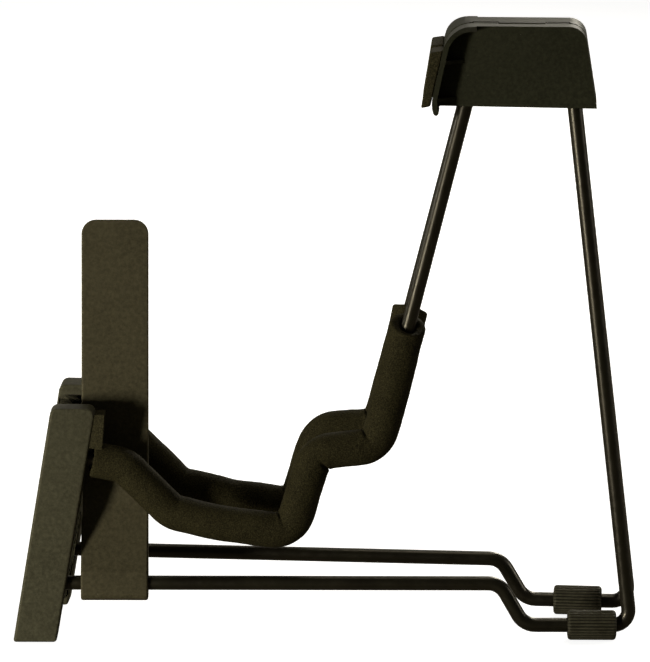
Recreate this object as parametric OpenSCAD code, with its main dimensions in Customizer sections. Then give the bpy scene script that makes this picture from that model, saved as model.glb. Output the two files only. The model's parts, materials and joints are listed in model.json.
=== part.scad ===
// Folding A-frame guitar stand.
// Two mirror-image side frames, each one bent steel rod, hang from a two-part hinge
// housing. A plate on the left base rod swings down between the frames.
// +X is the rear of the stand, +Y its right, +Z is up. The floor is z = 0.

/* [Stance] */
// Height of the hinge axis above the floor
hinge_h = 338.6; // [338.2:0.2:339.2]
// Angle of each side frame from upright, as the stand is posed
splay = 3.05; // [3:0.05:3.5]
// Angle that each rod frame turns outwards towards the front
toe = 2.2; // [2:0.05:2.3]
// Distance of each rod frame from the hinge plane at mid length
half_offset = 11.5; // [11.4:0.1:11.6]
// Moves the whole part along X, so that the origin is the middle of its footprint
x_centre = 0.9; // [0:0.1:1.5]

/* [Rod frame] */
// Diameter of the steel rod
rod_d = 8; // [7.8:0.1:8]
// Centre height of the base rod
base_h = 31.9; // [31:0.1:34]
// Centre height of the low rod that carries the rear foot
rear_h = 8.3; // [8.2:0.1:8.5]
// Height at which both legs end inside the housing
socket_h = 321.5; // [318:0.5:322]
// Front leg, X at its top end
front_top_x = 80.9; // [80.5:0.1:81.5]
// Rear leg, X at its top end
rear_top_x = 131.8; // [131:0.1:132.4]
// Rear corner, X where the rear leg meets the low rod
rear_x = 168.7; // [168.6:0.1:169.4]
// Centreline radius of the bends under the foam sleeve
bend_r = 12; // [11:0.5:13]
// Centreline radius of the bends inside the front foot
foot_bend_r = 8; // [7:0.5:9]
// Centreline radius of the two bends of the rear step
step_bend_r = 11; // [9:0.5:12]
// Centreline radius of the rear corner
corner_r = 8.4; // [7:0.1:8.4]

/* [Shelf and cradle] */
// Shelf, X at its rear corner
shelf_rear_x = 28; // [26:0.2:29]
// Shelf, centre height at its rear corner
shelf_rear_h = 109.4; // [106:0.2:111]
// Shelf, X at its front corner
shelf_front_x = -6.2; // [-8:0.1:-5]
// Shelf, centre height at its front corner
shelf_front_h = 105.8; // [103:0.2:107]
// Cradle, X of its rear corner
cradle_rear_x = -19.2; // [-21:0.2:-18]
// Cradle, centre height at its rear corner
cradle_rear_h = 60.8; // [58:0.2:62]
// Cradle, X of its front corner
cradle_front_x = -84.8; // [-86:0.2:-83]
// Cradle, centre height at its front corner
cradle_front_h = 71.8; // [70:0.1:73]
// Lip, X of the corner where the rod levels out
lip_x = -111.2; // [-112:0.1:-110]
// Lip, centre height of that corner
lip_h = 98.3; // [97:0.1:99]

/* [Foam] */
// Outer diameter of the foam sleeve
sleeve_d = 20; // [16:0.5:20]
// Height of the sleeve's upper end on the front leg
sleeve_top_h = 181; // [150:1:200]
// Thickness of the pad on the front foot, at its top
front_pad_t = 5.3; // [4:0.1:6]
// Thickness of the pad on the housing
back_pad_t = 6; // [4:0.5:8]

/* [Front foot] */
// Height of the front foot
foot_h = 130.2; // [127:0.2:132]
// Width of the front foot at the floor
foot_w = 24; // [23:0.1:24.4]
// Depth of the front foot
foot_depth = 16; // [15:0.5:17]
// Wall of the front foot
foot_wall = 2.6; // [2.2:0.1:2.8]

/* [Rear foot] */
// Outer diameter of the ribbed rubber sleeve, over its ribs
grip_d = 16.6; // [16:0.1:16.6]
// Length of the ribbed rubber sleeve
grip_len = 27; // [22:0.5:27]
// Number of ribs round the sleeve
grip_ribs = 28; // [20:1:30]

/* [Housing] */
// Distance from the hinge plane to the outside of a housing half
panel_w = 14.8; // [14.6:0.1:15.5]
// Distance from the hinge plane to the outer edge of the front flange
flange_w = 24.5; // [20:0.5:28]
// Wall of the housing
shell_wall = 2.4; // [2:0.1:2.4]
// Thickness of the front flange
flange_t = 2.8; // [2.4:0.1:3]
// Radius of the hinge knuckles
knuckle_r = 4; // [3.6:0.1:4]
// Diameter of the hinge pin
pin_d = 3.5; // [3:0.1:3.6]

/* [Spreader] */
// Width of the spreader plate
plate_w = 37.1; // [30:0.1:37.1]
// Length of the spreader plate from the rod's centre to its free end
plate_len = 201; // [180:1:201]
// Thickness of the spreader plate
plate_t = 3.4; // [2.5:0.1:3.6]
// Lean of the stowed plate from the left frame towards the other one
plate_lean = 8.1; // [7.8:0.1:9]

/* [Hidden] */
$fn = 48;

steel = [0.10, 0.10, 0.09];
plastic = [0.17, 0.165, 0.13];
foam = [0.12, 0.11, 0.08];
rubber = [0.13, 0.125, 0.10];
bright = [0.55, 0.55, 0.52];
cut = 60;         // longer than anything it cuts through
fit_gap = 0.05;   // gap round a rod or pin in its hole
bend_step = 0.05; // a bent length is this much thinner than a straight one
bend_lap = 0.2;   // a straight length runs this far into the bends at its ends
rod_r = rod_d / 2;

// Height in a side frame's own plane of a point that stands z above the floor.
function plane_h(u, z) =
    hinge_h - (hinge_h - z + (half_offset - u * sin(toe)) * sin(splay)) / cos(splay);
function lift(p) = [p[0], plane_h(p[0], p[1])];

// Points of the rod's centreline and their bend radii, from the front leg's top end
// round to the rear leg's top end.
front_slope = (front_top_x - shelf_rear_x) / (socket_h - shelf_rear_h);
cradle_mid = [
    (cradle_rear_x + cradle_front_x) / 2 - 5.3,
    (cradle_rear_h + cradle_front_h) / 2 - 0.9
];
foot_top_rod = [-144, 104.7];
foot_low_rod = [-155.2, base_h];
step_x = 96.2;
step_run = 13.6;
rod_points = [for (p = [
    [front_top_x, socket_h],
    [shelf_rear_x, shelf_rear_h],
    [shelf_front_x, shelf_front_h],
    [cradle_rear_x, cradle_rear_h],
    cradle_mid,
    [cradle_front_x, cradle_front_h],
    [lip_x, lip_h],
    foot_top_rod,
    foot_low_rod,
    [step_x, base_h],
    [step_x + step_run, rear_h],
    [rear_x, rear_h],
    [rear_top_x, socket_h]
]) lift(p)];
rod_radii = [
    0, bend_r, bend_r, bend_r, 60, bend_r + 2, bend_r + 2,
    foot_bend_r, foot_bend_r, step_bend_r, step_bend_r, corner_r, 0
];

// The sleeve follows the same line, from the front leg to just short of the front foot.
sleeve_start = [front_top_x - (socket_h - sleeve_top_h) * front_slope, sleeve_top_h];
sleeve_end_x = -130.2;
lip_rise = (foot_top_rod[1] - lip_h) / (foot_top_rod[0] - lip_x);
sleeve_end = [sleeve_end_x, lip_h + (sleeve_end_x - lip_x) * lip_rise];
sleeve_points = [
    lift(sleeve_start),
    for (i = [1:6]) rod_points[i],
    lift(sleeve_end)
];
sleeve_radii = [0, for (i = [1:6]) rod_radii[i], 0];

// Plain geometry of lines and arcs.
function heading(a, b) = atan2(b[1] - a[1], b[0] - a[0]);
function wrap(a) = a > 180 ? a - 360 : a < -180 ? a + 360 : a;
function turn_at(p, i) = wrap(heading(p[i], p[i + 1]) - heading(p[i - 1], p[i]));
function setback(p, r, i) =
    i == 0 || i == len(p) - 1 ? 0 : r[i] * tan(abs(turn_at(p, i)) / 2);
function unit(v) = v / norm(v);
function arc_points(c, r, a, sweep, n) =
    [for (i = [0:n]) c + r * [cos(a + sweep * i / n), sin(a + sweep * i / n)]];
function round_corner(p0, p1, p2, r, n) =
    r <= 0 ? [p1] :
    let (
        d1 = unit(p0 - p1),
        d2 = unit(p2 - p1),
        half = acos(d1 * d2) / 2,
        c = p1 + unit(d1 + d2) * r / sin(half),
        a1 = heading(c, p1 + d1 * r / tan(half)),
        a2 = heading(c, p1 + d2 * r / tan(half))
    )
    arc_points(c, r, a1, wrap(a2 - a1), n);
function rounded(p, r, n = 10) = [
    for (i = [0:len(p) - 1])
        each round_corner(p[(i + len(p) - 1) % len(p)], p[i], p[(i + 1) % len(p)], r[i], n)
];

// Cross-section shared by the straight and the bent lengths of a tube.
module ring(ro, ri) {
    difference() {
        circle(ro);
        if (ri > 0) circle(ri);
    }
}

// Tube along a line of points in the XZ plane, with a round bend at each inner point.
module bent_tube(p, r, ro, ri = 0) {
    for (i = [0:len(p) - 2]) {
        a = heading(p[i], p[i + 1]);
        s0 = setback(p, r, i) - (i == 0 ? 0 : bend_lap);
        s1 = setback(p, r, i + 1) - (i == len(p) - 2 ? 0 : bend_lap);
        run = norm(p[i + 1] - p[i]) - s0 - s1;
        start = p[i] + s0 * [cos(a), sin(a)];
        translate([start[0], 0, start[1]])
            rotate([0, 90 - a, 0])
                linear_extrude(run) ring(ro, ri);
    }
    for (i = [1:len(p) - 2]) {
        a = heading(p[i - 1], p[i]);
        t = turn_at(p, i);
        side = sign(t);
        c = p[i] - setback(p, r, i) * [cos(a), sin(a)] + side * r[i] * [-sin(a), cos(a)];
        translate([c[0], 0, c[1]])
            rotate([90, 0, 0])
                rotate([0, 0, t > 0 ? a - 90 : a + 90 + t])
                    rotate_extrude(angle = abs(t)) translate([r[i], 0])
                        ring(ro - bend_step, ri > 0 ? ri + bend_step : 0);
    }
}

// The left side hangs outwards from the hinge axis, and the right side mirrors it.
module left_side() {
    translate([x_centre, 0, hinge_h])
        rotate([-splay, 0, 0])
            translate([0, 0, -hinge_h]) children();
}
module right_side() {
    mirror([0, 1, 0]) left_side() children();
}

// The plane that the rod frame lies in, within its side.
module frame_plane() {
    translate([0, -half_offset, 0]) rotate([0, 0, toe]) children();
}

// Outline across the stand in Y and Z, from x0 to x1.
module cross_slab(points, x0, x1) {
    translate([x0, 0, 0])
        rotate([90, 0, 90]) linear_extrude(x1 - x0) polygon(points);
}

// Cylinder that points away from the hinge plane.
module out_cylinder(x, z, w0, w1, r) {
    translate([x, -w0, z]) rotate([90, 0, 0]) cylinder(h = w1 - w0, r = r);
}

// ---- rod frame ----

pin_h = 312;
pin_hole_r = 1.52;
pin_in = 0.9;
pin_out = 13;
front_pin_x = front_top_x - (socket_h - pin_h) * front_slope;
rear_slope = (rear_x - rear_top_x) / (socket_h - rear_h);
rear_pin_x = rear_top_x + (socket_h - pin_h) * rear_slope;
socket_pins_x = [front_pin_x, rear_pin_x];

module rod_frame() {
    color(steel) difference() {
        frame_plane() bent_tube(rod_points, rod_radii, rod_r);
        for (x = socket_pins_x) out_cylinder(x, pin_h, 0, 18, pin_hole_r);
    }
}

module socket_pins() {
    color(bright)
        for (x = socket_pins_x) out_cylinder(x, pin_h, pin_in, pin_out, pin_hole_r - 0.02);
}

// ---- foam ----

module foam_sleeve() {
    color(foam)
        frame_plane()
            bent_tube(sleeve_points, sleeve_radii, sleeve_d / 2, rod_r + 2 * fit_gap);
}

// ---- front foot: a channel, open towards the other side, that the rod lies in ----

foot_lean = 0.1655;
foot_rear_lean = 0.171;
foot_front_x = -172.9;
foot_rear_x = foot_front_x + foot_w;
function foot_front(v) = foot_front_x + foot_lean * v;
function foot_rear(v) = foot_rear_x + foot_rear_lean * v;
strap_h = 68;
strap_t = 2;
strap_in = rod_r + 3 * fit_gap;
foot_rod_low = rod_points[8];
foot_rod_high = rod_points[7];
strap_x = foot_rod_low[0] + (foot_rod_high[0] - foot_rod_low[0])
    * (strap_h - foot_rod_low[1]) / (foot_rod_high[1] - foot_rod_low[1]);
screw_reach = 6.7;
screw_r = 1.4;
lean_angle = atan(foot_lean);
channel_floor = foot_depth / 2 - foot_wall;

// Rod-sized groove that opens towards the other side of the stand.
module rod_groove(p, angle, run) {
    translate([p[0], 0, p[1]]) rotate([0, -angle, 0]) {
        rotate([0, 90, 0]) cylinder(h = run, r = rod_r + 0.15, center = true);
        translate([-run / 2, 0, -rod_r - 0.15]) cube([run, foot_depth, rod_d + 0.3]);
    }
}

module foot_shell() {
    outline = [
        [foot_front(-4), -4],
        [foot_front(foot_h), foot_h],
        [foot_rear(foot_h), foot_h],
        [foot_rear(-4), -4]
    ];
    hollow = [
        [foot_front(5) + foot_wall, 5],
        [foot_front(foot_h - 7) + foot_wall, foot_h - 7],
        [foot_rear(foot_h - 7) - foot_wall, foot_h - 7],
        [foot_rear(5) - foot_wall, 5]
    ];
    difference() {
        translate([0, foot_depth / 2, 0])
            rotate([90, 0, 0]) linear_extrude(foot_depth)
                polygon(rounded(outline, [0, 4, 4, 0]));
        translate([0, foot_depth / 2 + 1, 0])
            rotate([90, 0, 0]) linear_extrude(foot_depth / 2 + 1 + channel_floor)
                polygon(rounded(hollow, [1.5, 2, 2, 1.5]));
    }
}

module foot_ribs() {
    rib_t = 1.8;
    for (v = [17, 48, 88, 116])
        translate([foot_front(v) + 1, -channel_floor - 0.5, v])
            cube([foot_rear(v) - foot_front(v) - 2, channel_floor + 2.5, rib_t]);
    for (s = [-1, 1])
        translate([strap_x, 0, strap_h]) rotate([0, lean_angle, 0])
            translate([s * screw_reach, strap_in, 0])
                rotate([90, 0, 0]) cylinder(h = strap_in + channel_floor + 0.5, r = 2.6);
}

module front_foot() {
    upper = [foot_rear(103), plane_h(foot_rear(103), sleeve_end[1])];
    lower = [foot_rear(base_h), plane_h(foot_rear(base_h), base_h)];
    color(plastic) difference() {
        left_side() frame_plane() difference() {
            union() {
                foot_shell();
                foot_ribs();
            }
            rod_groove(upper, atan(lip_rise), 16);
            rod_groove(lower, 0, 16);
            rod_groove(
                (foot_rod_low + foot_rod_high) / 2, heading(foot_rod_high, foot_rod_low), 56
            );
            translate([strap_x, 0, strap_h]) rotate([0, lean_angle, 0])
                for (s = [-1, 1])
                    translate([s * screw_reach, foot_depth, 0])
                        rotate([90, 0, 0]) cylinder(h = foot_depth + 4, r = screw_r + fit_gap);
        }
        translate([-250, -150, -cut]) cube([200, 300, cut]);
    }
}

// ---- strap and screws that hold the rod in the channel ----

module rod_strap() {
    color(plastic) frame_plane() translate([strap_x, 0, strap_h]) rotate([0, lean_angle, 0])
        difference() {
            translate([0, strap_in + 0.05 + strap_t, 0]) rotate([90, 0, 0]) linear_extrude(strap_t)
                polygon(rounded([[-8.8, -6], [8.8, -6], [8.8, 6], [-8.8, 6]], [2, 2, 2, 2], 6));
            for (s = [-1, 1])
                translate([s * screw_reach, cut / 2, 0])
                    rotate([90, 0, 0]) cylinder(h = cut, r = screw_r + 0.1);
        }
}

module strap_screws() {
    seat = strap_in + 0.05 + strap_t;
    color(bright) frame_plane() translate([strap_x, 0, strap_h]) rotate([0, lean_angle, 0])
        for (s = [-1, 1]) translate([s * screw_reach, 0, 0]) difference() {
            rotate([-90, 0, 0]) {
                translate([0, 0, -3]) cylinder(h = seat + 3.2, r = screw_r);
                translate([0, 0, seat]) cylinder(h = 1.5, r = 2.2);
            }
            for (a = [0, 90])
                translate([0, seat + 1.1, 0]) rotate([0, a, 0])
                    cube([3, 1.2, 0.6], center = true);
        }
}

module front_pad() {
    low = 107.4;
    high = 126.9;
    outline = [
        [foot_rear(low) + 0.02, low],
        [foot_rear(high) + 0.02, high],
        [foot_rear(high) + front_pad_t, high],
        [foot_rear(low) + front_pad_t + 1.9, low]
    ];
    end = lift(sleeve_end);
    color(foam) frame_plane() difference() {
        translate([0, 7, 0]) rotate([90, 0, 0]) linear_extrude(14) polygon(outline);
        translate([end[0], 0, end[1]]) rotate([0, 90 - atan(lip_rise), 0])
            cylinder(h = cut, r = sleeve_d / 2 + 0.1, center = true);
    }
}

// ---- ribbed rubber foot ----

left_grip_x = 147.4;
right_grip_x = 139.8;
grip_depth = 0.75;

module rear_foot(mid) {
    steps = grip_ribs * 6;
    crest_r = grip_d / 2;
    ribs = [for (i = [0:steps - 1])
        let (
            a = -90 + 360 * i / steps,
            r = crest_r - grip_depth * pow(abs(sin(180 * i / 6)), 1.4)
        )
        r * [cos(a), sin(a)]];
    barrel = rounded(
        [[0, 0], [crest_r + 0.01, 0], [crest_r + 0.01, grip_len], [0, grip_len]],
        [0, 2.4, 2.4, 0], 8
    );
    color(rubber) frame_plane()
        translate([mid - grip_len / 2, 0, plane_h(mid, rear_h)])
            rotate([0, 90, 0]) difference() {
                intersection() {
                    rotate([0, 0, 90]) linear_extrude(grip_len) polygon(ribs);
                    rotate_extrude() polygon(barrel);
                }
                translate([0, 0, -1]) cylinder(h = grip_len + 2, r = rod_r + 2 * fit_gap);
            }
}

// ---- hinge housing ----

top_h = hinge_h + 3.5;
bottom_h = 298.6;
bottom_drop = 1;
tip_h = 295.1;
front_lean = tan(12.3);
rear_lean = 0.161;
rear_bottom_x = 146.3;
open_half = 14.9;
knuckle_x0 = 79;
knuckle_x1 = 131;
middle_x0 = 92.6;
middle_x1 = 118.1;
knuckle_gap = 0.6;
pin_end_r = 2.6;
pin_end_room = 2.4;
curl_h = 305;
curl = 0.026;
function flat_x(z) = 62.2 + (z - 326) * front_lean;
function front_x(z) = flat_x(z) + curl * pow(max(0, curl_h - z), 2);
function back_x(z) = rear_bottom_x - (z - bottom_h) * rear_lean;

// Outline of the housing seen from the side. Its front edge curls back below curl_h.
module shell_outline(t_front, t, bottom) {
    curled = [for (i = [0:4])
        let (z = bottom + (curl_h - bottom) * i / 4)
        [front_x(z) + t_front, z]];
    polygon(rounded(
        concat(curled, [
            [front_x(top_h - t) + t_front, top_h - t],
            [back_x(top_h - t) - t, top_h - t],
            [back_x(bottom - bottom_drop) - t, bottom - bottom_drop]
        ]),
        [0, 0, 0, 0, 0, 15.5 - t_front, 9.5 - t, 0]
    ));
}

module out_extrude(w0, w1) {
    translate([0, -w0, 0]) rotate([90, 0, 0]) linear_extrude(w1 - w0) children();
}

// Front flange: the shell's front wall, carried out past the panel and down past its
// lower edge, which is rounded, as its outer corners are.
module flange() {
    bead_r = 1.2;
    low = tip_h - bead_r;
    face = rounded(
        [[0, low], [-flange_w, low], [-flange_w, top_h + 0.5], [0, top_h + 0.5]],
        [0, 4, 11, 0]
    );
    intersection() {
        out_extrude(0.4, flange_w) {
            difference() {
                shell_outline(0, 0, tip_h);
                shell_outline(flange_t, shell_wall, tip_h - 1);
            }
            translate([front_x(tip_h) + flange_t / 2, tip_h]) circle(bead_r);
        }
        cross_slab(face, 40, 81);
    }
}

module gussets() {
    for (z = [302.5, 323])
        translate([0, 0, z - 1]) linear_extrude(2)
            polygon([
                [front_x(z) + flange_t - 0.6, -(panel_w - 0.6)],
                [front_x(z) + flange_t + 10, -(panel_w - 0.6)],
                [front_x(z) + flange_t + 10, -(panel_w + 0.3)],
                [front_x(z) + flange_t - 0.6, -(flange_w - 1)]
            ]);
}

// Block round the end of each leg.
module sockets() {
    half = 6.4;
    low = bottom_h + 0.6;
    high = socket_h + 3;
    out_extrude(0.6, panel_w - 1) {
        for (leg = [[front_pin_x, front_slope], [rear_pin_x, -rear_slope]])
            polygon([
                [leg[0] + (low - pin_h) * leg[1] - half, low],
                [leg[0] + (low - pin_h) * leg[1] + half, low],
                [leg[0] + (high - pin_h) * leg[1] + half, high],
                [leg[0] + (high - pin_h) * leg[1] - half, high]
            ]);
    }
}

module leg_bores() {
    r = rod_r + fit_gap;
    top = 0.5;
    last = len(rod_points) - 1;
    for (ends = [[rod_points[1], rod_points[0]], [rod_points[last - 1], rod_points[last]]]) {
        a = heading(ends[0], ends[1]);
        frame_plane() translate([ends[1][0], 0, ends[1][1]])
            rotate([0, 90 - a, 0])
                translate([0, 0, top - 40]) cylinder(h = 40, r = r);
    }
}

// own lists the X spans of this half's knuckles, and other those of the other half's.
module housing(own, other) {
    color(plastic) difference() {
        union() {
            difference() {
                union() {
                    difference() {
                        out_extrude(0.4, panel_w) shell_outline(0, 0, bottom_h);
                        out_extrude(-1, panel_w - shell_wall)
                            shell_outline(flange_t, shell_wall, bottom_h - 1);
                    }
                    flange();
                    gussets();
                }
                cross_slab(
                    [
                        [4, hinge_h - 1],
                        [-0.6, hinge_h - 1],
                        [-0.6 - 6 * tan(open_half), hinge_h + 6],
                        [4, hinge_h + 6]
                    ],
                    40, 160
                );
                for (s = other)
                    translate([s[0] - knuckle_gap, 0, hinge_h]) rotate([0, 90, 0])
                        cylinder(h = s[1] - s[0] + 2 * knuckle_gap, r = knuckle_r + 1.2);
                for (x = [knuckle_x0 - pin_end_room, knuckle_x1])
                    translate([x, 0, hinge_h]) rotate([0, 90, 0])
                        cylinder(h = pin_end_room, r = pin_end_r + 0.3);
            }
            sockets();
            for (s = own)
                translate([s[0], 0, hinge_h]) rotate([0, 90, 0])
                    cylinder(h = s[1] - s[0], r = knuckle_r);
        }
        leg_bores();
        for (x = socket_pins_x) out_cylinder(x, pin_h, 0, pin_out + 0.1, pin_hole_r);
        translate([40, 0, hinge_h]) rotate([0, 90, 0]) cylinder(h = 120, r = pin_d / 2 + fit_gap);
    }
}

outer_knuckles = [
    [knuckle_x0, middle_x0 - knuckle_gap],
    [middle_x1 + knuckle_gap, knuckle_x1]
];
middle_knuckle = [[middle_x0, middle_x1]];

module hinge_pin() {
    head_t = 1.2;
    color(bright) translate([x_centre, 0, hinge_h]) rotate([0, 90, 0]) {
        translate([0, 0, knuckle_x0 - 1.8]) cylinder(h = knuckle_x1 - knuckle_x0 + 1.85, r = pin_d / 2);
        translate([0, 0, knuckle_x1 + 0.05]) cylinder(h = head_t, r = pin_end_r);
    }
}

module pin_cap() {
    color(bright) translate([x_centre + knuckle_x0 - 0.85, 0, hinge_h]) rotate([0, 90, 0])
        difference() {
            cylinder(h = 0.8, r = pin_end_r);
            translate([0, 0, -1]) cylinder(h = 3, r = pin_d / 2 + 0.02);
        }
}

module hinge_washers() {
    color(bright)
        for (x = [middle_x0 - knuckle_gap, middle_x1])
            translate([x_centre + x + 0.05, 0, hinge_h]) rotate([0, 90, 0]) difference() {
                cylinder(h = knuckle_gap - 0.1, r = knuckle_r - 0.3);
                translate([0, 0, -1]) cylinder(h = 3, r = pin_d / 2 + fit_gap);
            }
}

// Foam pad on the front of a flange.
module back_pad() {
    low = 299.2;
    high = 329.6;
    wedge = 0.9;
    color(foam) out_extrude(1.6, flange_w - 1) polygon([
        [flat_x(low) - 0.02, low],
        [flat_x(high) - 0.02, high],
        [flat_x(high) - back_pad_t - wedge, high - 1],
        [flat_x(low) - back_pad_t + wedge, low - 1]
    ]);
}

// ---- spreader plate, on the left base rod ----

plate_x = -135.6;
plate_face = rod_r + 0.5;
base_tilt = heading(rod_points[8], rod_points[9]);

module spreader_plate() {
    block_out = 6.2;
    block_low = 9.6;
    block_high = 6.2;
    ramp_high = 44;
    block = rounded(
        [
            [-block_out, -block_low],
            [plate_face + plate_t, -block_low],
            [plate_face + plate_t, ramp_high + 10],
            [plate_face, ramp_high + 10],
            [plate_face, ramp_high],
            [-block_out, block_high]
        ],
        [4.4, 4.4, 0, 0, 40, 3]
    );
    face = rounded(
        [[0, 0], [plate_w, 0], [plate_w, plate_len], [0, plate_len]],
        [0, 0, 8, 8]
    );
    color(plastic) frame_plane()
        translate([plate_x, 0, plane_h(plate_x, base_h)])
            rotate([0, -base_tilt, 0]) rotate([-plate_lean, 0, 0]) difference() {
                union() {
                    translate([0, plate_face + plate_t, 0])
                        rotate([90, 0, 0]) linear_extrude(plate_t) polygon(face);
                    rotate([90, 0, 90]) linear_extrude(plate_w) polygon(block);
                }
                translate([-1, 0, 0]) rotate([0, 90, 0])
                    cylinder(h = plate_w + 2, r = rod_r + 0.08);
            }
}

left_side() rod_frame();  // left_rod_frame
right_side() rod_frame();  // right_rod_frame
left_side() foam_sleeve();  // left_foam_sleeve
right_side() foam_sleeve();  // right_foam_sleeve
front_foot();  // left_front_foot
mirror([0, 1, 0]) front_foot();  // right_front_foot
left_side() front_pad();  // left_front_pad
right_side() front_pad();  // right_front_pad
left_side() rod_strap();  // left_rod_strap
right_side() rod_strap();  // right_rod_strap
left_side() strap_screws();  // left_strap_screws
right_side() strap_screws();  // right_strap_screws
left_side() rear_foot(left_grip_x);  // left_rear_foot
right_side() rear_foot(right_grip_x);  // right_rear_foot
left_side() housing(outer_knuckles, middle_knuckle);  // left_housing
right_side() housing(middle_knuckle, outer_knuckles);  // right_housing
left_side() back_pad();  // left_back_pad
right_side() back_pad();  // right_back_pad
left_side() socket_pins();  // left_socket_pins
right_side() socket_pins();  // right_socket_pins
hinge_pin();
pin_cap();
hinge_washers();
left_side() spreader_plate();
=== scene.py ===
"""Looks of a folding A-frame guitar stand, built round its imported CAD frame.

Lengths are in millimetres, and Blender's own values are in metres. A side frame lies in a plane of
its own: u runs along it towards the rear, v is the height and out points away from the hinge plane.
place() turns those three into a point of the row frame.
"""

import json
import math

import bmesh
import bpy
import numpy as np
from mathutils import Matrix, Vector, noise

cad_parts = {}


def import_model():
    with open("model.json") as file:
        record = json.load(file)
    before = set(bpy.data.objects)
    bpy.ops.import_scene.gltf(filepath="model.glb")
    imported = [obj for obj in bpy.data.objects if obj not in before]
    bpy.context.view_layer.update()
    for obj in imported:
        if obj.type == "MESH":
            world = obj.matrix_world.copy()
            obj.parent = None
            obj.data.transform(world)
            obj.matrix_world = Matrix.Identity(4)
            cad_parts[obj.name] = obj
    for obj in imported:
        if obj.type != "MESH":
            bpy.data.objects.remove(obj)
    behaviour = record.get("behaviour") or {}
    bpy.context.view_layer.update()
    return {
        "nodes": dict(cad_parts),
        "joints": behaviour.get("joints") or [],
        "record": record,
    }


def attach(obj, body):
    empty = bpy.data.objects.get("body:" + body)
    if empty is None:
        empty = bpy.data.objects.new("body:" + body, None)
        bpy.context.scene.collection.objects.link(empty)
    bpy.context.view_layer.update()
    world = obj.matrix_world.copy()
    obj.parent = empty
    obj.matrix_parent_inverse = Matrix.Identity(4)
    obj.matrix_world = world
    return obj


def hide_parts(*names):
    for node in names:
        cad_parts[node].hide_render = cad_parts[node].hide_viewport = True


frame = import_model()
NODES = frame["nodes"]
SLOT_OF = {s["node"]: s["material_slot"] for s in frame["record"]["subparts"]}
MM = 0.001
SIDES = {"left": -1, "right": 1}

# ---------------------------------------------------------------- stance

HINGE_H = frame["joints"][0]["pos_m"][2] / MM
SPLAY = math.radians(3.05)  # how far each side leans out from the hinge
TOE = math.radians(2.2)  # how far each rod plane is turned, so that the fronts stand wider
HALF_OFFSET = 11.5  # from the hinge plane to a rod plane, at u = 0
X_CENTRE = 0.9  # where u = 0 lies along the row frame's X


def hang(side, u, out, v):
    """A point at u, out and v of a side as it would hang upright -> the row frame, in metres."""
    y = -out * math.cos(SPLAY) + (v - HINGE_H) * math.sin(SPLAY)
    z = HINGE_H + out * math.sin(SPLAY) + (v - HINGE_H) * math.cos(SPLAY)
    return Vector((u + X_CENTRE, -SIDES[side] * y, z)) * MM


def place(side, u, out, v):
    """A point of a side's rod plane -> the row frame, in metres."""
    x = u * math.cos(TOE) + out * math.sin(TOE)
    w = HALF_OFFSET - u * math.sin(TOE) + out * math.cos(TOE)
    return hang(side, x, w, v)


def plane_h(u, z):
    """Height in the rod plane of a point that stands z above the floor."""
    w = HALF_OFFSET - u * math.sin(TOE)
    return HINGE_H - (HINGE_H - z + w * math.sin(SPLAY)) / math.cos(SPLAY)


# ---------------------------------------------------------------- the bent rod's line

ROD_R = 4.0
BASE_H = 31.9
REAR_H = 8.3
SOCKET_H = 321.5
# Each corner: u, height above the floor, and the radius of its bend.
ROD_CORNERS = [
    (80.9, SOCKET_H, 0),
    (28.0, 109.4, 12),
    (-6.2, 105.8, 12),
    (-19.2, 60.8, 12),
    (-57.3, 65.4, 60),
    (-84.8, 71.8, 14),
    (-111.2, 98.3, 14),
    (-144.0, 104.7, 8),
    (-155.2, BASE_H, 8),
    (96.2, BASE_H, 11),
    (109.8, REAR_H, 11),
    (168.7, REAR_H, 8.4),
    (131.8, SOCKET_H, 0),
]
ROD_STEP = 6.0  # between the rings of a straight stretch
ROD_SIDES = 32
BEND_STEP = 2.0  # the longest step round a bend
BEND_POINTS = 4  # the fewest steps round a bend


def lift(corners):
    """Corners with their heights above the floor turned into heights in the rod plane."""
    return [(np.array([u, plane_h(u, z)]), r) for u, z, r in corners]


def along(a, b, step):
    """Points from a towards b, about a step apart, without b."""
    n = max(1, round(float(np.linalg.norm(b - a)) / step))
    return [a + (b - a) * i / n for i in range(n)]


def bent_line(corners, step):
    """Centreline with round bends: points, and how sharply it turns at each, per millimetre."""
    points, turns = [], []
    last = corners[0][0]
    for (p, r), (q, _) in zip(corners[1:-1], corners[2:]):
        d0 = (p - last) / np.linalg.norm(p - last)
        d1 = (q - p) / np.linalg.norm(q - p)
        turn = math.atan2(d0[0] * d1[1] - d0[1] * d1[0], d0 @ d1)
        reach = r * math.tan(abs(turn) / 2)
        start = p - d0 * reach
        straight = along(last, start, step)
        points += straight
        turns += [0.0] * len(straight)
        side = math.copysign(1, turn)
        centre = start + side * r * np.array([-d0[1], d0[0]])
        arm = start - centre
        n = max(BEND_POINTS, round(abs(turn) * r / min(step, BEND_STEP)))
        for i in range(n):
            a = turn * i / n
            points.append(centre + np.array([
                arm[0] * math.cos(a) - arm[1] * math.sin(a),
                arm[0] * math.sin(a) + arm[1] * math.cos(a)]))
            turns.append(side / r)
        last = p + d1 * reach
    straight = along(last, corners[-1][0], step) + [corners[-1][0]]
    return np.array(points + straight), np.array(turns + [0.0] * len(straight))


def directions(points):
    d = np.gradient(points, axis=0)
    return d / np.linalg.norm(d, axis=1)[:, None]


# ---------------------------------------------------------------- meshes

MERGE = 2e-6  # metres: the CAD's points closer than this are one
FLAT_ANGLE = math.radians(1.0)  # faces that meet flatter than this are one
EDGE_ANGLE = math.radians(28)  # edges that bend more than this are rounded over
ROUND_SEGMENTS = 3
FACE_WEIGHT = 80


def link(name, mesh):
    obj = bpy.data.objects.new(name, mesh)
    bpy.context.scene.collection.objects.link(obj)
    return obj


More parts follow.
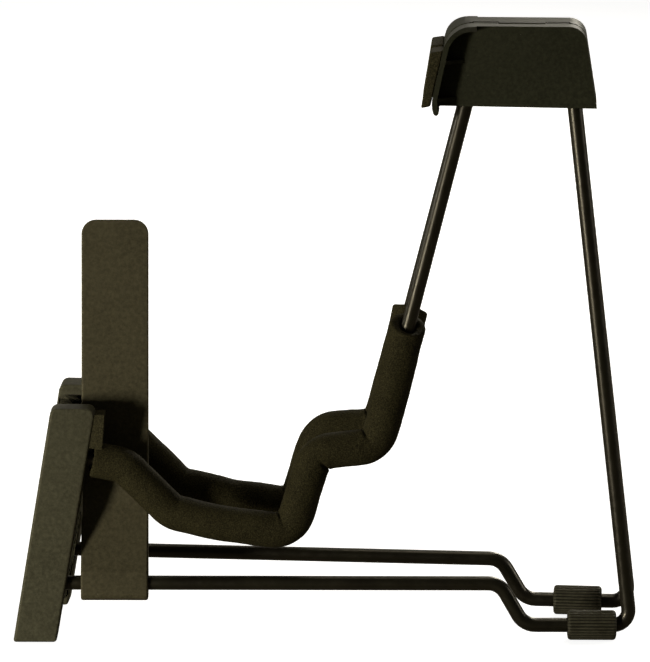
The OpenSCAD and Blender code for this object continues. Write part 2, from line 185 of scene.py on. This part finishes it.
def new_object(name, verts, faces, smooth=True):
    mesh = bpy.data.meshes.new(name)
    mesh.from_pydata([tuple(v) for v in verts], [], faces)
    mesh.validate()
    bm = bmesh.new()
    bm.from_mesh(mesh)
    bmesh.ops.recalc_face_normals(bm, faces=bm.faces)
    bm.to_mesh(mesh)
    bm.free()
    mesh.polygons.foreach_set("use_smooth", [smooth] * len(mesh.polygons))
    return link(name, mesh)


def skin(name, side, points, radius, count, bore=None, slide=None):
    """Closed round skin along a line, count points round.

    radius(i, phi) and bore(i, phi) are in mm, and slide(i, phi) is how far a point shifts along
    the line. phi is 90 degrees on the outside. Without a bore both ends are closed.
    """
    heading = directions(points)
    rows = len(points)
    walls = [radius, bore] if bore else [radius]
    verts, faces = [], []
    for wall in walls:
        for i, (p, d) in enumerate(zip(points, heading)):
            for k in range(count):
                phi = 2 * math.pi * k / count
                r = wall(i, phi)
                across = r * math.cos(phi)
                q = p + d * (slide(i, phi) if slide else 0.0)
                verts.append(place(side, q[0] - d[1] * across, r * math.sin(phi), q[1] + d[0] * across))
    size = rows * count

    def quad_row(a, b):
        for k in range(count):
            j = (k + 1) % count
            faces.append((a + k, a + j, b + j, b + k))

    for w in range(len(walls)):
        for i in range(rows - 1):
            quad_row(w * size + i * count, w * size + (i + 1) * count)
    for end in (0, (rows - 1) * count):
        if bore:
            quad_row(end, size + end)
        else:
            faces.append(tuple(end + k for k in range(count)))
    return new_object(name, verts, faces)


def softened(node, name, width, segments=ROUND_SEGMENTS, clamp=True):
    """A copy of a CAD node whose edges are rounded over, as moulded parts' edges are."""
    bm = bmesh.new()
    bm.from_mesh(NODES[node].data)
    bmesh.ops.remove_doubles(bm, verts=bm.verts, dist=MERGE)
    bmesh.ops.dissolve_degenerate(bm, edges=bm.edges, dist=MERGE)
    bmesh.ops.dissolve_limit(bm, angle_limit=FLAT_ANGLE, verts=bm.verts, edges=bm.edges)
    mesh = bpy.data.meshes.new(name)
    bm.to_mesh(mesh)
    bm.free()
    obj = link(name, mesh)
    bevel = obj.modifiers.new("round_over", "BEVEL")
    bevel.width = width * MM
    bevel.segments = segments
    bevel.limit_method = "ANGLE"
    bevel.angle_limit = EDGE_ANGLE
    bevel.use_clamp_overlap = clamp
    bevel.miter_outer = "MITER_ARC"
    bevel.material = -1
    normals = obj.modifiers.new("even_shading", "WEIGHTED_NORMAL")
    normals.keep_sharp = False
    normals.weight = FACE_WEIGHT
    mesh.polygons.foreach_set("use_smooth", [True] * len(mesh.polygons))
    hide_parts(node)
    return obj


# ---------------------------------------------------------------- materials

SHEEN_TINT = (1.0, 0.9, 0.68, 1)  # every surface shines a warm grey


class Paint:
    """A Principled material and short ways to add nodes to it."""

    def __init__(self, name, color, roughness, specular):
        self.mat = bpy.data.materials.new(name)
        self.mat.use_nodes = True
        self.mat.diffuse_color = (*color, 1)
        self.tree = self.mat.node_tree
        self.shader = self.tree.nodes["Principled BSDF"]
        self.shader.inputs["Base Color"].default_value = (*color, 1)
        self.shader.inputs["Roughness"].default_value = roughness
        self.shader.inputs["Specular IOR Level"].default_value = specular
        self.shader.inputs["Specular Tint"].default_value = SHEEN_TINT
        self.where = self.tree.nodes.new("ShaderNodeTexCoord").outputs["Object"]

    def feed(self, slot, value):
        """Links a socket to a slot, or sets the slot to a constant."""
        if isinstance(value, bpy.types.NodeSocket):
            self.tree.links.new(value, slot)
        else:
            slot.default_value = value

    def node(self, kind, **inputs):
        n = self.tree.nodes.new(kind)
        for key, value in inputs.items():
            self.feed(n.inputs[key.replace("_", " ")], value)
        return n

    def noise(self, per_mm, detail=3.0, rough=0.5, stretch=None):
        vector = self.where
        if stretch:
            vector = self.node("ShaderNodeMapping", Vector=vector, Scale=stretch).outputs[0]
        n = self.node("ShaderNodeTexNoise", Vector=vector, Scale=per_mm / MM, Detail=detail, Roughness=rough)
        return n.outputs["Fac"]

    def cells(self, per_mm):
        """Distance to the nearest of scattered points."""
        n = self.node("ShaderNodeTexVoronoi", Vector=self.where, Scale=per_mm / MM)
        return n.outputs["Distance"]

    def ramp(self, value, low, high, out_low=0.0, out_high=1.0):
        n = self.node("ShaderNodeMapRange", Value=value, From_Min=low, From_Max=high,
                      To_Min=out_low, To_Max=out_high)
        return n.outputs[0]

    def times(self, a, b):
        n = self.tree.nodes.new("ShaderNodeMath")
        n.operation = "MULTIPLY"
        self.feed(n.inputs[0], a)
        self.feed(n.inputs[1], b)
        return n.outputs[0]

    def specks(self, per_mm, edge, core, patch, share):
        """Small dots, only where a coarser patch noise is high. patch: per_mm, low, high."""
        dots = self.ramp(self.cells(per_mm), edge, core)
        patch_per_mm, low, high = patch
        return self.times(dots, self.ramp(self.noise(patch_per_mm, 2), low, high, 0, share))

    def attribute(self, name):
        n = self.tree.nodes.new("ShaderNodeAttribute")
        n.attribute_name = name
        return n.outputs["Fac"]

    def mix(self, share, a, b):
        """Colour a where share is 0, colour b where it is 1."""
        n = self.tree.nodes.new("ShaderNodeMix")
        n.data_type = "RGBA"
        self.tree.links.new(share, n.inputs[0])
        colors = [s for s in n.inputs if s.type == "RGBA"]
        for slot, value in zip(colors, (a, b)):
            self.feed(slot, value if isinstance(value, bpy.types.NodeSocket) else (*value, 1))
        return next(s for s in n.outputs if s.type == "RGBA")

    def set(self, name, value):
        self.tree.links.new(value, self.shader.inputs[name])

    def bump(self, *layers):
        """Layers are (height, strength, depth in mm); each stands on the one before."""
        normal = None
        for height, strength, depth in layers:
            n = self.node("ShaderNodeBump", Height=height, Strength=strength, Distance=depth * MM)
            if normal:
                self.tree.links.new(normal, n.inputs["Normal"])
            normal = n.outputs["Normal"]
        self.set("Normal", normal)


def scaled(color, by):
    return [min(1, c * by) for c in color]


DUST = (0.22, 0.20, 0.15)
FOAM_FLECK = (0.20, 0.17, 0.11)
# painted shade for the grip's grooves
GROOVE_SHADE = (0.004, 0.004, 0.002)


def moulded_plastic(name, dark, light, grain=0.5):
    """Matt black plastic: spark-eroded grain, cloudy mould marks, dust specks, and pale edges that are partly
    wear, partly a painted highlight.
    """
    p = Paint(name, light, 0.6, 0.12)
    color = p.mix(p.ramp(p.noise(0.03, 3, 0.5), 0.35, 0.68), dark, light)
    fine = p.noise(1.6, 2, 0.6)
    color = p.mix(p.ramp(fine, 0.45, 0.75, 0, 0.3), color, scaled(light, 1.5))
    color = p.mix(p.specks(0.16, 0.045, 0.03, (0.05, 0.52, 0.6), 0.35), color, DUST)
    # pale edges: partly wear, partly a painted highlight where the rounded edges catch light
    wear_and_painted_light = p.times(p.attribute("wear_and_painted_light"), p.ramp(p.noise(0.5, 3, 0.7), 0.35, 0.7, 0.1, 0.8))
    p.set("Base Color", p.mix(wear_and_painted_light, color, scaled(light, 2.6)))
    p.set("Roughness", p.ramp(p.noise(0.12, 3), 0.3, 0.7, 0.54, 0.59))
    p.bump((p.noise(0.04, 2), 0.1, 0.3), (fine, grain, 0.04))
    return p.mat


def rod_paint():
    """Semi-gloss black paint with faint clouds, dust and a slightly uneven surface."""
    p = Paint("rod_paint", (0.008, 0.007, 0.004), 0.3, 0.4)
    color = p.mix(p.ramp(p.noise(0.05, 3), 0.35, 0.7), (0.006, 0.005, 0.003), (0.010, 0.009, 0.005))
    p.set("Base Color", p.mix(p.specks(0.22, 0.05, 0.03, (0.08, 0.55, 0.62), 0.4), color, (0.12, 0.11, 0.08)))
    p.set("Roughness", p.ramp(p.noise(0.3, 3), 0.3, 0.7, 0.28, 0.42))
    p.bump((p.noise(0.25, 2), 0.2, 0.05), (p.noise(1.2, 3), 0.15, 0.03))
    return p.mat


def foam_skin(name, dark, light, depth=0.35):
    """Closed-cell foam: small open pores, pale flecks and hardly any shine."""
    p = Paint(name, dark, 0.9, 0.06)
    pores = p.ramp(p.cells(0.9), 0.05, 0.55)
    color = p.mix(p.ramp(p.noise(0.07, 2, 0.5), 0.3, 0.75), dark, light)
    color = p.mix(p.ramp(p.noise(1.5, 2, 0.7), 0.42, 0.72), color, scaled(light, 2.3))
    color = p.mix(p.ramp(p.cells(0.9), 0.3, 0.12, 0, 0.75), color, scaled(dark, 0.2))
    p.set("Base Color", p.mix(p.specks(0.3, 0.06, 0.035, (0.12, 0.5, 0.58), 0.5), color, FOAM_FLECK))
    p.set("Roughness", p.ramp(pores, 0.0, 1.0, 0.95, 0.8))
    p.bump((p.noise(0.14, 3), 0.25, 1.0), (pores, 0.5, depth), (p.noise(1.8, 3), 0.5, 0.2))
    return p.mat


def grip_rubber():
    """Dull moulded rubber: painted shade in its grooves, and ribs painted pale, partly as scuffs and partly
    as a painted highlight.
    """
    p = Paint("grip_rubber", (0.03, 0.028, 0.02), 0.6, 0.25)
    color = p.mix(p.ramp(p.noise(0.12, 4, 0.6), 0.35, 0.68), (0.026, 0.024, 0.014), (0.052, 0.048, 0.030))
    # ribs painted pale: partly scuffs, partly a painted highlight on the rib tops
    wear_and_painted_light = p.times(p.attribute("wear_and_painted_light"), p.ramp(p.noise(0.6, 3, 0.7), 0.3, 0.75, 0.0, 0.5))
    # painted shade in the grooves, between the ribs
    color = p.mix(p.ramp(p.attribute("wear_and_painted_light"), 0.55, 0.0, 0.0, 0.85), color, GROOVE_SHADE)
    p.set("Base Color", p.mix(wear_and_painted_light, color, (0.10, 0.09, 0.06)))
    p.set("Roughness", p.ramp(p.noise(0.4, 3), 0.3, 0.7, 0.5, 0.7))
    p.bump((p.noise(1.4, 3), 0.35, 0.1))
    return p.mat


def zinc():
    """Dulled zinc plating with fine drawn lines."""
    p = Paint("zinc", (0.30, 0.29, 0.26), 0.38, 0.5)
    p.shader.inputs["Metallic"].default_value = 1.0
    p.set("Base Color", p.mix(p.ramp(p.noise(0.4, 3), 0.3, 0.7), (0.12, 0.115, 0.10), (0.30, 0.29, 0.26)))
    p.set("Roughness", p.ramp(p.noise(1.0, 3), 0.3, 0.7, 0.3, 0.5))
    p.bump((p.noise(2.0, 2, 0.5, (1, 1, 12)), 0.2, 0.03))
    return p.mat


def nylon():
    """Greyed white nylon."""
    p = Paint("nylon", (0.10, 0.095, 0.08), 0.45, 0.4)
    p.set("Base Color", p.mix(p.ramp(p.noise(0.5, 3), 0.3, 0.7), (0.07, 0.066, 0.055), (0.13, 0.125, 0.10)))
    p.bump((p.noise(1.5, 2), 0.2, 0.04))
    return p.mat


MATERIALS = {
    "black_steel": rod_paint(),
    "sleeve_foam": foam_skin("sleeve_foam", (0.010, 0.0085, 0.0036), (0.018, 0.0155, 0.0066)),
    "pad_foam": foam_skin("pad_foam", (0.015, 0.0130, 0.006), (0.024, 0.021, 0.010), 0.25),
    "black_plastic": moulded_plastic("black_plastic", (0.028, 0.026, 0.015), (0.034, 0.032, 0.019)),
    # painted shade: the same black plastic made darker for the hinge housing, which the key light reaches
    # less
    "housing_plastic": moulded_plastic("housing_plastic", (0.0115, 0.012, 0.0065), (0.0155, 0.016, 0.009)),
    "plate_plastic": moulded_plastic("plate_plastic", (0.030, 0.026, 0.014), (0.038, 0.033, 0.018), 0.6),
    "black_rubber": grip_rubber(),
    "zinc_steel": zinc(),
    "white_nylon": nylon(),
}


def finish_piece(obj, body, node):
    """Gives a piece that stands for a node its material, and lets it ride on its body."""
    slot = SLOT_OF[node]
    obj.data.materials.clear()
    obj.data.materials.append(MATERIALS[slot])
    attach(obj, body)
    return obj


# ---------------------------------------------------------------- wear and painted highlight on edges

SMALL_FACE = 40  # a rounded-over edge's faces are smaller than this many squares of its width
EDGE_BEND = 0.12  # radians between neighbouring faces, from where a point counts as an edge
FULL_BEND = 0.5  # radians at which the wear and painted highlight are full


def set_wear_and_painted_light(obj, share):
    """The attribute the materials read for wear and painted light: 1 where the piece is rubbed and catches a
    painted highlight, else 0.
    """
    wear_and_painted_light = obj.data.attributes.new("wear_and_painted_light", "FLOAT", "POINT")
    wear_and_painted_light.data.foreach_set("value", share)


def apply_modifiers(obj):
    evaluated = obj.evaluated_get(bpy.context.evaluated_depsgraph_get())
    mesh = bpy.data.meshes.new_from_object(evaluated)
    obj.modifiers.clear()
    obj.data = mesh


def mark_edge_wear_and_light(obj, width):
    """Marks the edges that were rounded over by width mm for wear and a painted highlight."""
    apply_modifiers(obj)
    mesh = obj.data
    largest = SMALL_FACE * (width * MM) ** 2
    share = np.zeros(len(mesh.vertices), np.float32)
    bm = bmesh.new()
    bm.from_mesh(mesh)
    for v in bm.verts:
        faces = v.link_faces
        if len(faces) < 2:
            continue
        bend = max(f.normal.angle(g.normal, 0) for f in faces for g in faces)
        if min(f.calc_area() for f in faces) < largest and bend > EDGE_BEND:
            share[v.index] = min(1.0, bend / FULL_BEND)
    bm.free()
    set_wear_and_painted_light(obj, share)


# ---------------------------------------------------------------- the pieces of a side


def side_rod(side):
    points, _ = bent_line(lift(ROD_CORNERS), ROD_STEP)
    obj = skin(f"{side}_rod", side, points, lambda i, phi: ROD_R, ROD_SIDES)
    node = f"{side}_rod_frame"
    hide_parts(node)
    finish_piece(obj, f"{side}_side", node)


SLEEVE_R = 9.85
SLEEVE_TOP_H = 181.4
SLEEVE_END_U = -130.2
SLEEVE_BORE = 4.3
SLEEVE_MOUTH = 5.0  # the bore at the upper end, which is a little loose
MOUTH_LEN = 25
SLEEVE_STEP = 1.2
SLEEVE_SIDES = 80
SHARP_BEND = 0.08  # 1 / (bend radius in mm)
CREASE_DEPTH, CREASE_LEN, CREASE_TURN = 1.5, 1.5, 0.12
BULGE, BULGE_AWAY, BULGE_LEN = 0.3, 5.0, 3.0  # the foam that the crease pushes aside
THINNED, THINNED_LEN = 0.5, 7  # the stretched foam outside a bend
WAVE_PER_MM, WAVE_AROUND = 0.07, 0.6
WAVE = {"left": 0.35, "right": 0.6}
WAVE_SEED = {"left": 3.1, "right": 17.7}
RIPPLE, RIPPLE_FINER = 0.14, 3.7
END_ROUND, END_ROUND_LEN = 0.7, 1.3
TOP_SLANT, TOP_SLANT_LEN = 8.0, 13.0
END_SLANT, END_SLANT_LEN = 2.0, 8.0


def bend_middles(s, turns):
    """Where along the line each tight bend is sharpest, and which way it turns."""
    middles, i = [], 0
    while i < len(turns):
        j = i
        while j < len(turns) and turns[j] == turns[i]:
            j += 1
        if abs(turns[i]) > SHARP_BEND:
            middles.append(((s[i] + s[j]) / 2, math.copysign(1, turns[i])))
        i = j
    return middles


def sleeve_corners():
    """The rod's corners from the sleeve's upper end to its lower end."""
    (u0, z0, _), (u1, z1, _) = ROD_CORNERS[:2]
    top = (u0 - (z0 - SLEEVE_TOP_H) * (u0 - u1) / (z0 - z1), SLEEVE_TOP_H, 0)
    (u1, z1, _), (u2, z2, _) = ROD_CORNERS[6:8]
    end = (SLEEVE_END_U, z1 + (SLEEVE_END_U - u1) * (z2 - z1) / (u2 - u1), 0)
    return [top, *ROD_CORNERS[1:7], end]


def hump(distance, length):
    return math.exp(-((distance / length) ** 2))


def side_sleeve(side):
    """Foam tube pushed over the bends: pinched to a crease inside each bend, thinner outside it.
    Both ends are cut on the slant."""
    points, turns = bent_line(lift(sleeve_corners()), SLEEVE_STEP)
    gap = np.linalg.norm(np.diff(points, axis=0), axis=1)
    s = np.concatenate([[0], np.cumsum(gap)])
    middles = bend_middles(s, turns)

    def radius(i, phi):
        r = SLEEVE_R
        for middle, way in middles:
            inner = max(0.0, math.cos(phi - CREASE_TURN) * way)
            outer = max(0.0, -math.cos(phi) * way)
            near = s[i] - middle
            r -= CREASE_DEPTH * hump(near, CREASE_LEN) * inner ** 0.8
            r += BULGE * hump(abs(near) - BULGE_AWAY, BULGE_LEN) * inner
            r -= THINNED * hump(near, THINNED_LEN) * outer
        around = Vector((s[i] * WAVE_PER_MM + WAVE_SEED[side],
                         math.cos(phi) * WAVE_AROUND, math.sin(phi) * WAVE_AROUND))
        r += WAVE[side] * noise.noise(around) + RIPPLE * noise.noise(around * RIPPLE_FINER)
        to_end = min(s[i], s[-1] - s[i])
        return r - END_ROUND * max(0.0, 1 - to_end / END_ROUND_LEN) ** 2

    def bore(i, phi):
        return SLEEVE_MOUTH if s[i] < MOUTH_LEN else SLEEVE_BORE

    def slide(i, phi):
        outer = (1 + math.sin(phi)) / 2
        start = TOP_SLANT * outer * max(0.0, 1 - s[i] / TOP_SLANT_LEN)
        return start - END_SLANT * outer * max(0.0, 1 - (s[-1] - s[i]) / END_SLANT_LEN)

    obj = skin(f"{side}_sleeve", side, points, radius, SLEEVE_SIDES, bore=bore, slide=slide)
    node = f"{side}_foam_sleeve"
    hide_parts(node)
    finish_piece(obj, f"{side}_side", node)


GRIP_MID_U = {"left": 147.4, "right": 139.8}
GRIP_LEN = 27.0
GRIP_R = 8.3
GRIP_BORE = 4.2
GRIP_RIBS = 28
POINTS_PER_RIB = 12
GROOVE_DEPTH = 0.8
GROOVE_STARTS, GROOVE_RUN = 0.9, 0.8  # how far from an end the grooves begin, and deepen
GRIP_ROUND = 2.0  # radius of the ends' edges
GRIP_END_STEPS = [0, 0.25, 0.7, 1.3, 2.0, 3.0]


def rib(phi):
    """1 on top of a rib and 0 in the middle of a groove."""
    return abs(math.sin(phi * GRIP_RIBS / 2 + math.pi / 2))


def side_grip(side):
    """Rubber sleeve with rounded ribs along it and softened ends."""
    middle = GRIP_MID_U[side]
    v = plane_h(middle, REAR_H)
    stations = [*GRIP_END_STEPS, *range(5, 23, 2), 24.0, 25.0, 25.7, 26.3, 26.75, GRIP_LEN]
    points = np.array([[middle - GRIP_LEN / 2 + x, v] for x in stations])
    count = GRIP_RIBS * POINTS_PER_RIB

    def radius(i, phi):
        to_end = min(stations[i], GRIP_LEN - stations[i])
        depth = GROOVE_DEPTH * min(1.0, max(0.0, (to_end - GROOVE_STARTS) / GROOVE_RUN))
        r = GRIP_R - depth * (1 - rib(phi) ** 0.55)
        if to_end < GRIP_ROUND:
            r -= GRIP_ROUND - math.sqrt(max(0.0, GRIP_ROUND ** 2 - (GRIP_ROUND - to_end) ** 2))
        return r

    obj = skin(f"{side}_grip", side, points, radius, count, bore=lambda i, phi: GRIP_BORE)
    # rib tops marked for scuffs and a painted highlight; the material paints shade in the grooves from the
    # same share
    share = np.zeros(len(obj.data.vertices), np.float32)
    for k in range(len(points) * count):
        share[k] = rib(2 * math.pi * (k % count) / count) ** 2
    set_wear_and_painted_light(obj, share)
    node = f"{side}_rear_foot"
    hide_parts(node)
    finish_piece(obj, f"{side}_side", node)


PAD_SEGMENTS = 4


def pad_block(node, name, body, corner):
    """Cut foam block with rounded corners."""
    obj = softened(node, name, corner, segments=PAD_SEGMENTS)
    finish_piece(obj, body, node)


def moulded(node, name, body, width, wear_and_painted_light=True, clamp=True):
    obj = softened(node, name, width, clamp=clamp)
    finish_piece(obj, body, node)
    if wear_and_painted_light:
        mark_edge_wear_and_light(obj, width)


for side in SIDES:
    body = f"{side}_side"
    side_rod(side)
    side_sleeve(side)
    side_grip(side)
    moulded(f"{side}_front_foot", f"{side}_foot", body, 1.6, clamp=False)
    moulded(f"{side}_rod_strap", f"{side}_strap", body, 0.4)
    moulded(f"{side}_strap_screws", f"{side}_screws", body, 0.15, wear_and_painted_light=False)
    moulded(f"{side}_housing", f"{side}_hinge_half", body, 0.55)
    pad_block(f"{side}_front_pad", f"{side}_pad_front", body, 1.2)
    pad_block(f"{side}_back_pad", f"{side}_pad_back", body, 1.0)
    moulded(f"{side}_socket_pins", f"{side}_pins", body, 0.2, wear_and_painted_light=False)
moulded("hinge_pin", "pin", "left_side", 0.3, wear_and_painted_light=False)
moulded("pin_cap", "cap", "left_side", 0.2, wear_and_painted_light=False)
moulded("hinge_washers", "washers", "left_side", 0.1, wear_and_painted_light=False)
moulded("spreader_plate", "plate", "spreader", 1.1, clamp=False)

# ---------------------------------------------------------------- floor and surroundings

FLOOR_HALF = 6.0  # metres
FLOOR_DROP = 0.0002  # metres below the feet
FLOOR_GLOW = 0.88
FLOOR_LIT = (0.22, 0.20, 0.16, 1)
WORLD_LIT = (1.0, 0.95, 0.82, 1)
WORLD_DIM, WORLD_BRIGHT = 0.035, 0.7
BRIGHT_FROM, BRIGHT_FULL = 0.75, 0.97  # how far a direction points behind the stand, 0 to 1


def by_camera_ray(tree, seen, lit, out):
    """Shows the camera one shader and every other ray another."""
    path = tree.nodes.new("ShaderNodeLightPath")
    mix = tree.nodes.new("ShaderNodeMixShader")
    tree.links.new(path.outputs["Is Camera Ray"], mix.inputs[0])
    tree.links.new(lit.outputs[0], mix.inputs[1])
    tree.links.new(seen.outputs[0], mix.inputs[2])
    tree.links.new(mix.outputs[0], out.inputs["Surface"])


def stage_material():
    """Pale floor that the camera sees nearly white, and that throws little light back up."""
    mat = bpy.data.materials.new("pale_floor")
    mat.use_nodes = True
    tree = mat.node_tree
    seen = tree.nodes["Principled BSDF"]
    seen.inputs["Base Color"].default_value = (0.7, 0.7, 0.7, 1)
    seen.inputs["Roughness"].default_value = 1.0
    seen.inputs["Specular IOR Level"].default_value = 0.0
    seen.inputs["Emission Color"].default_value = (1, 1, 1, 1)
    seen.inputs["Emission Strength"].default_value = FLOOR_GLOW
    lit = tree.nodes.new("ShaderNodeBsdfDiffuse")
    lit.inputs["Color"].default_value = FLOOR_LIT
    by_camera_ray(tree, seen, lit, tree.nodes["Material Output"])
    return mat


def floor():
    around = [(-1, -1), (1, -1), (1, 1), (-1, 1)]
    corners = [(x * FLOOR_HALF, y * FLOOR_HALF, -FLOOR_DROP) for x, y in around]
    obj = new_object("floor", corners, [(0, 1, 2, 3)], smooth=False)
    obj.data.materials.append(stage_material())


def world():
    """Even white surroundings to look at. As a light they are dim, and brighter behind the stand,
    where level faces catch their shine."""
    w = bpy.data.worlds.new("studio")
    bpy.context.scene.world = w
    w.use_nodes = True
    tree = w.node_tree
    seen = tree.nodes["Background"]
    seen.inputs["Color"].default_value = (1, 1, 1, 1)
    seen.inputs["Strength"].default_value = 1.0
    lit = tree.nodes.new("ShaderNodeBackground")
    lit.inputs["Color"].default_value = WORLD_LIT
    split = tree.nodes.new("ShaderNodeSeparateXYZ")
    tree.links.new(tree.nodes.new("ShaderNodeTexCoord").outputs["Generated"], split.inputs[0])
    behind = tree.nodes.new("ShaderNodeMapRange")
    tree.links.new(split.outputs["Y"], behind.inputs["Value"])
    behind.inputs["From Min"].default_value = BRIGHT_FROM
    behind.inputs["From Max"].default_value = BRIGHT_FULL
    behind.inputs["To Min"].default_value = WORLD_DIM
    behind.inputs["To Max"].default_value = WORLD_BRIGHT
    tree.links.new(behind.outputs[0], lit.inputs["Strength"])
    by_camera_ray(tree, seen, lit, tree.nodes["World Output"])


floor()
world()

# ---------------------------------------------------------------- lights and camera

MIDDLE = (0, 0, 0.16)
FRONT_FOOT = (-0.15, -0.03, 0.12)
SOFT_WARM = (1.0, 0.97, 0.88)
WARM = (1.0, 0.96, 0.88)
WARMER = (1.0, 0.95, 0.82)
LENS, SENSOR = 265.4, 36.0
CLIP_END = 50  # metres
YAW, RISE, DISTANCE = math.radians(2.585), math.radians(13.768), 2.6963
AIM = (X_CENTRE * MM, 0, 0.174)
AIM_LEFT, AIM_DOWN = 0.00179, 0.00507  # metres from AIM to the middle of the view


def point_along(obj, back):
    """Turns a light or camera so that back is the way behind it."""
    obj.rotation_mode = "QUATERNION"
    obj.rotation_quaternion = back.to_track_quat("Z", "Y")
    bpy.context.scene.collection.objects.link(obj)


def area_light(name, azimuth, elevation, distance, width, height, power, aim, color):
    """Azimuth 0 is towards the camera (-Y) and 90 to the right (+X)."""
    data = bpy.data.lights.new(name, "AREA")
    data.shape = "RECTANGLE"
    data.size, data.size_y = width, height
    data.energy = power
    data.color = color
    obj = bpy.data.objects.new(name, data)
    a, e = math.radians(azimuth), math.radians(elevation)
    back = Vector((math.sin(a) * math.cos(e), -math.cos(a) * math.cos(e), math.sin(e)))
    obj.location = Vector(aim) + back * distance
    point_along(obj, back)


def camera():
    """At the height and turn from which the stand is seen, far off with a long lens."""
    data = bpy.data.cameras.new("camera")
    data.lens, data.sensor_width = LENS, SENSOR
    data.clip_end = CLIP_END
    obj = bpy.data.objects.new("camera", data)
    forward = Vector((-math.sin(YAW) * math.cos(RISE), math.cos(YAW) * math.cos(RISE), -math.sin(RISE)))
    right = Vector((math.cos(YAW), math.sin(YAW), 0))
    up = right.cross(forward)
    aim = Vector(AIM) - right * AIM_LEFT - up * AIM_DOWN
    obj.location = aim - forward * DISTANCE
    point_along(obj, -forward)
    bpy.context.scene.camera = obj


area_light("key", -41, 0, 1.05, 0.16, 0.22, 12.5, FRONT_FOOT, SOFT_WARM)
area_light("rear_end", 98, 14, 1.8, 0.3, 0.5, 7, MIDDLE, WARM)
area_light("front_end", -100, 14, 1.8, 0.3, 0.5, 7, MIDDLE, SOFT_WARM)
area_light("far_side", 162, 26, 1.7, 0.4, 0.5, 13, MIDDLE, WARMER)
area_light("top", 175, 78, 1.8, 0.8, 0.8, 5.5, MIDDLE, WARMER)
camera()
bpy.context.scene.view_settings.view_transform = "Standard"
